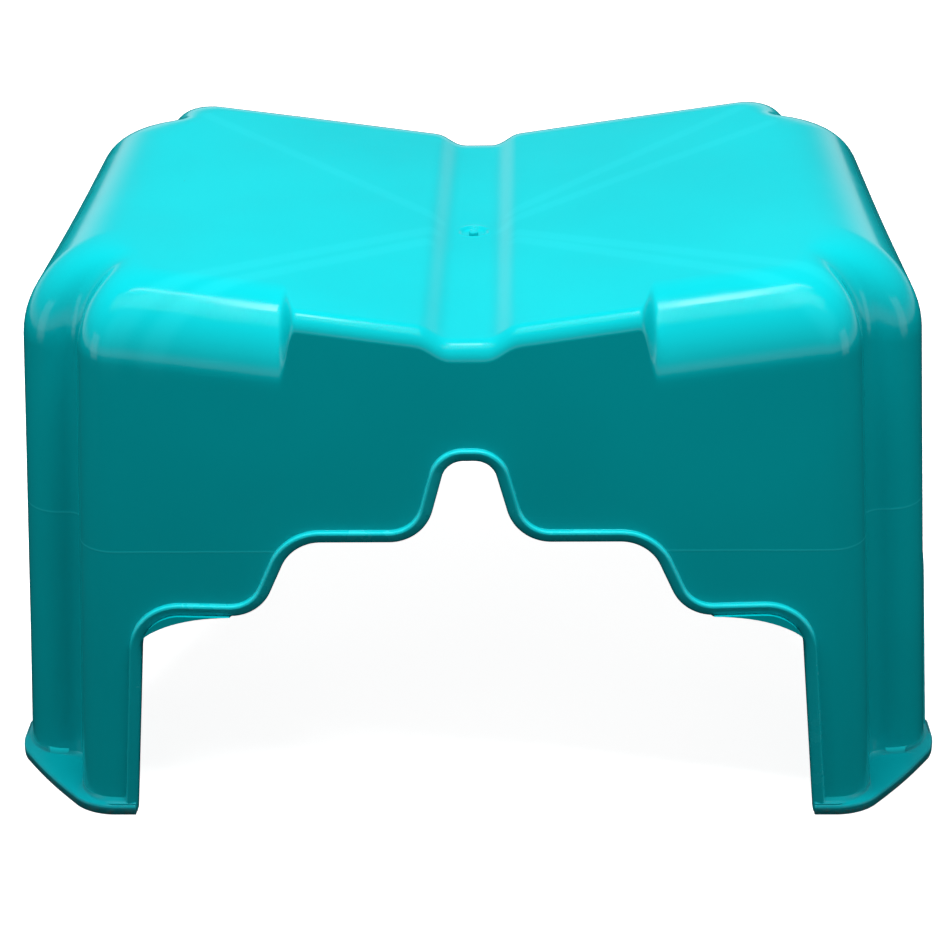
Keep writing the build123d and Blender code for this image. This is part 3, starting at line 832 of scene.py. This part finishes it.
def footMaterial():
    # The foot flanges: darker below their fillet, which is painted shade, and the wall's own colour above it;
    # scuffed along the bottom edge, with a little brown grit caught in the scuffs.
    material, tree, place, shader = newMaterial("footPlastic")
    texture = useGroup(tree, grain, {"Place": place, "Grain": 1300.0})
    use = useGroup(tree, marks, {"Place": place, "Specks": 0.08, "Scratches": 1.0})
    height = tree.node("ShaderNodeSeparateXYZ", {"Vector": place}).outputs["Z"]
    low = tree.remap(height, 0.0002, footPlastic["scuffTop"], 1.0, 0.0)
    broken = tree.math("MULTIPLY", low, tree.remap(tree.noise(place, 420.0, 4.0, 0.7), 0.42, 0.62))
    cloud = tree.math("MULTIPLY", texture.outputs["Cloud"], 0.5)
    colour = tree.mix(cloud, footPlastic["colour"], plastic["shade"])
    # Painted shade: below the fillet the flange keeps its darker colour, fading to the wall's colour above
    # it.
    colour = tree.mix(tree.remap(height, 0.0046, 0.0074), colour, plastic["colour"])
    colour = tree.mix(tree.math("MULTIPLY", broken, 0.6), colour, footPlastic["scuff"])
    grit = tree.math("MULTIPLY", broken, tree.remap(tree.noise(place, 900.0, 2.0), 0.52, 0.66))
    colour = tree.mix(grit, colour, footPlastic["grit"])
    colour = tree.mix(tree.math("MULTIPLY", use.outputs["Speck"], 0.7), colour, plastic["dirt"])
    rough = tree.math("MULTIPLY_ADD", broken, 0.35, footPlastic["roughness"])
    relief = tree.math("MULTIPLY_ADD", broken, 1.5, texture.outputs["Height"])
    bump = tree.node("ShaderNodeBump", {"Height": relief, "Distance": footPlastic["bump"], "Strength": 0.6})
    connect(tree, shader, {"Base Color": colour, "Roughness": rough, "Normal": bump.outputs[0]})
    return material


turquoise, rimFinish, footFinish = turquoiseMaterial(), rimMaterial(), footMaterial()

for name in sorted(set(names)):
    shellPiece(name, turquoise)
print("shell pieces made:", len(set(names)))

for end, flipY in (("front", 1), ("rear", -1)):
    for hand, flipX in (("right", 1), ("left", -1)):
        sweep("foot_" + end + "_" + hand, footRings() * [flipX, flipY, 1], footFinish)
for kind, pair in (("front", ("front", "rear")), ("side", ("right", "left"))):
    for place, flip in zip(pair, (1, -1)):
        turn = [flip, flip, 1]
        sweep("arch_rim_" + place, rimRings(kind) * turn, rimFinish)
print("feet and rims made")

stub = {"steps": 40, "round": 0.0003, "dish": 0.0002}


def gateStub():
    # The broken-off stub of the gate: a low disc with a rounded, slightly dished top.
    centre = (stubLow + stubHigh) / 2
    radius, low, high = gate["stubRadius"], stubLow[2] - gate["stubSink"], stubHigh[2]
    profile = [(radius, low), (radius, high - stub["round"]), (radius - stub["round"], high)]
    profile += [(radius * 0.55, high), (radius * 0.3, high - stub["dish"])]
    profile += [(radius * 0.02, high - 1.1 * stub["dish"])]
    angle = np.linspace(0, 2 * np.pi, stub["steps"], endpoint=False)
    circle = np.column_stack([np.cos(angle), np.sin(angle)])
    rings = [
        np.column_stack([circle * size + [centre[0], centre[1]], np.full(len(circle), z)])
        for size, z in profile
    ]
    sweep("gate_stub", np.stack(rings), turquoise)


gateStub()
for node in ("ribs_front_left", "ribs_front_right", "ribs_rear_left", "ribs_rear_right"):
    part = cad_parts[node]
    part.data.materials.clear()
    part.data.materials.append(turquoise)
print("small parts done")

studio = {
    "floor": (0.86, 0.86, 0.86, 1), "floorBounce": (0.05, 0.055, 0.06, 1), "sky": 1.0, "skyFill": 0.08,
    "skyShine": 0.11, "horizonShine": 0.60, "floorShine": 0.12, "floorGlow": 0.90,
    "horizonLow": 0.04, "horizonHigh": 0.28, "floorHalf": 6.0, "floorDrop": 0.0003,
}
lights = [
    # name, place, aim, size, power, whether it shows in reflections, and whether it lights surfaces
    ("keyLight", (-0.05, -0.24, 1.3), (0, 0, 0.2), (1.3, 0.45), 25.0, False, True),
    ("fillLight", (0.1, -1.6, 0.5), (0, 0, 0.1), (1.2, 0.8), 0.1, False, True),
    ("backLight", (-0.1, 1.6, 0.5), (0, 0, 0.1), (1.2, 0.8), 6.0, False, True),
    ("boxLight", (0.0, 0.0, 1.2), (0, 0, 0.2), (0.10, 0.12), 0.32, True, False),
    ("tubeLight", (0.0, 0.10, 1.2), (0, 0, 0.2), (0.62, 0.03), 0.45, True, False),
    ("leftLight", (-1.3, -0.7, 0.35), (0, 0, 0.1), (0.5, 0.8), 0.9, True, True),
    ("rightLight", (1.3, -0.7, 0.35), (0, 0, 0.1), (0.5, 0.8), 0.9, True, True),
]


def areaLight(name, place, target, size, power, shine, spread):
    # A soft rectangular light, turned to face its target.
    data = bpy.data.lights.new(name, "AREA")
    data.shape = "RECTANGLE"
    data.size, data.size_y = size
    data.energy = power
    light = bpy.data.objects.new(name, data)
    bpy.context.scene.collection.objects.link(light)
    light.location = place
    aim = Vector(target) - Vector(place)
    light.rotation_euler = aim.to_track_quat("-Z", "Y").to_euler()
    light.visible_glossy = shine
    light.visible_diffuse = spread


def studioFloor():
    # A wide pale floor, seen by the camera as nearly white, and dimmer to everything else so that the
    # walls of the block keep their depth of colour.
    mesh = bpy.data.meshes.new("floor")
    half, drop = studio["floorHalf"], studio["floorDrop"]
    sheet = [(-half, -half, -drop), (half, -half, -drop), (half, half, -drop), (-half, half, -drop)]
    mesh.from_pydata(sheet, [], [(0, 1, 2, 3)])
    floor = bpy.data.objects.new("studioFloor", mesh)
    bpy.context.scene.collection.objects.link(floor)
    material, tree, place, shader = newMaterial("floorPaper")
    path = tree.node("ShaderNodeLightPath").outputs
    seen = path["Is Camera Ray"]
    dim = tree.math("MULTIPLY_ADD", path["Is Glossy Ray"], studio["floorShine"] - 1, 1.0)
    bounce = tree.mix(dim, (0, 0, 0, 1), studio["floorBounce"])
    colour = tree.mix(seen, bounce, studio["floor"])
    tree.tree.links.new(colour, shader.inputs["Base Color"])
    shader.inputs["Roughness"].default_value = 0.9
    shader.inputs["Specular IOR Level"].default_value = 0.1
    glow = tree.math("MULTIPLY", seen, studio["floorGlow"])
    shader.inputs["Emission Color"].default_value = (1, 1, 1, 1)
    tree.tree.links.new(glow, shader.inputs["Emission Strength"])
    mesh.materials.append(material)


def studioSky():
    # An even pale sky, seen by the camera as white. In reflections it is bright near the horizon and dim
    # above.
    world = bpy.data.worlds.new("studio")
    world.use_nodes = True
    world.node_tree.nodes.clear()
    tree = Tree(world.node_tree)
    path = tree.node("ShaderNodeLightPath").outputs
    strength = tree.math(
        "MULTIPLY_ADD", path["Is Camera Ray"], studio["sky"] - studio["skyFill"], studio["skyFill"])
    heading = tree.node("ShaderNodeTexCoord").outputs["Generated"]
    climb = tree.node("ShaderNodeSeparateXYZ", {"Vector": heading}).outputs["Z"]
    shine = tree.remap(
        climb, studio["horizonLow"], studio["horizonHigh"], studio["horizonShine"], studio["skyShine"])
    shine = tree.math("SUBTRACT", shine, studio["skyFill"])
    strength = tree.math("MULTIPLY_ADD", path["Is Glossy Ray"], shine, strength)
    light = tree.node("ShaderNodeBackground", {"Color": (1, 1, 1, 1), "Strength": strength})
    output = tree.node("ShaderNodeOutputWorld")
    tree.tree.links.new(light.outputs[0], output.inputs["Surface"])
    bpy.context.scene.world = world


studioFloor()
studioSky()
for light in lights:
    areaLight(*light)
print("studio ready")

camera = {
    "lens": 80.0, "sensor": 36.0, "height": 26.778, "turn": 1.5547, "tilt": -0.932,
    "place": (-0.002517, -0.88228, 0.52891),
}


def addCamera():
    # The camera's own axes are worked out from its height angle, the turn of the block, and a slight tilt,
    # all in degrees.
    rise, turn, tilt = (np.radians(camera[key]) for key in ("height", "turn", "tilt"))
    right, up = np.array([1.0, 0, 0]), np.array([0, np.sin(rise), np.cos(rise)])
    forward = np.array([0, np.cos(rise), -np.sin(rise)])
    across = np.cos(tilt) * right + np.sin(tilt) * up
    upward = -np.sin(tilt) * right + np.cos(tilt) * up
    spin = np.array([[np.cos(turn), -np.sin(turn), 0], [np.sin(turn), np.cos(turn), 0], [0, 0, 1]])
    axes = np.column_stack([spin @ across, spin @ upward, -(spin @ forward)])
    matrix = np.eye(4)
    matrix[:3, :3] = axes
    matrix[:3, 3] = spin @ np.array(camera["place"])
    data = bpy.data.cameras.new("camera")
    data.lens, data.sensor_width = camera["lens"], camera["sensor"]
    seen = bpy.data.objects.new("camera", data)
    bpy.context.scene.collection.objects.link(seen)
    seen.matrix_world = Matrix(matrix.tolist())
    bpy.context.scene.camera = seen


addCamera()
bpy.context.scene.view_settings.view_transform = "Standard"
